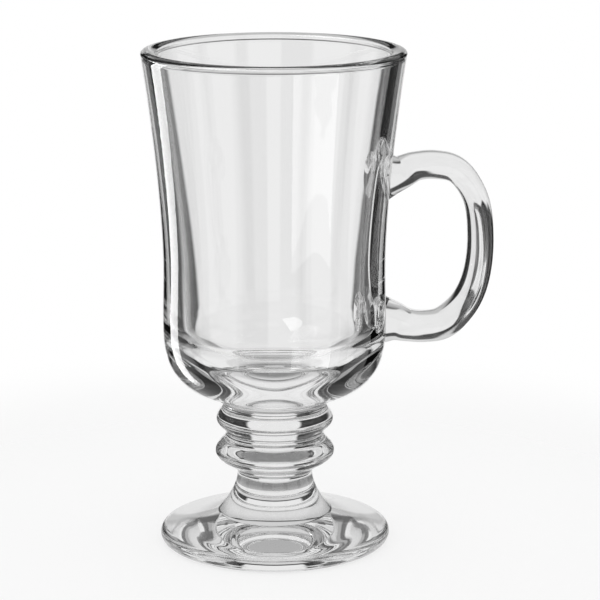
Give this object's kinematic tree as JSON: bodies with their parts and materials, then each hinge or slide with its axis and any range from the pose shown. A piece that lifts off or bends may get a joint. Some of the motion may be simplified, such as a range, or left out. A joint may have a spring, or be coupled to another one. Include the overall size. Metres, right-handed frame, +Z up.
{
  "type": "irish coffee glass mug",
  "caption": "Tall footed glass mug for hot coffee drinks, with a flared bowl, two rings on its stem and a D-shaped side handle.",
  "frame": {"origin": "centre of the foot, on the plane of the ring that the mug stands on", "axes": "+Z up along the mug's axis, from the foot to the rim; the handle lies in the XZ plane, towards -X"},
  "size_m": [0.1028, 0.076, 0.1455],
  "materials": {
    "clear_glass": "clear pressed glass, fire-polished and smooth"
  },
  "bodies": {
    "root": {"foot": "clear_glass", "stem": "clear_glass", "lower_ring": "clear_glass", "upper_ring": "clear_glass", "bowl": "clear_glass", "handle": "clear_glass"}
  },
  "joints": []
}
